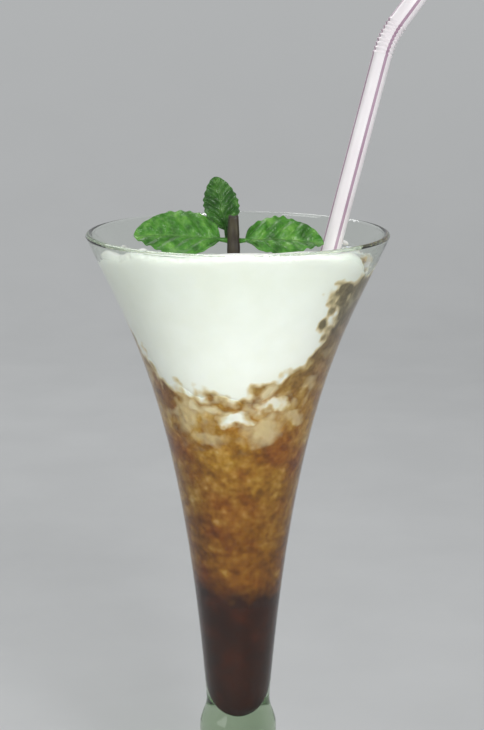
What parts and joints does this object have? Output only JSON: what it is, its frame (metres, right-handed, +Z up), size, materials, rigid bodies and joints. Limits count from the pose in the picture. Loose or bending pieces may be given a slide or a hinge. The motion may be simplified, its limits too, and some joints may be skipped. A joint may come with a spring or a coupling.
{
  "type": "coffee granita in a tall glass",
  "caption": "Tall trumpet glass of coffee granita topped with cream, a mint sprig and a bendable straw; stands on its foot as a cold dessert drink.",
  "frame": {"origin": "middle of the foot's flat underside, on the glass's axis", "axes": "+Z up along the glass's axis; -Y towards the drinker; +X to the drinker's right, the side that the straw leans to"},
  "size_m": [0.114, 0.0876, 0.278],
  "materials": {
    "soda_glass": "clear, slightly green, polished",
    "coffee": "dark sweet coffee with ice",
    "coffee_ice": "wet amber ice crystals",
    "cream": "lightly whipped, soft folds",
    "straw": "thin plastic, fine stripes along it",
    "stalk": "green brown, faintly hairy",
    "mint": "veined and puckered"
  },
  "bodies": {
    "root": {"glass": "soda_glass", "dark_coffee": "coffee", "granita": "coffee_ice", "cream": "cream", "straw": "straw", "mint_stalk": "stalk", "mint_leaf_left": "mint", "mint_leaf_right": "mint", "mint_leaf_upright": "mint"}
  },
  "joints": []
}
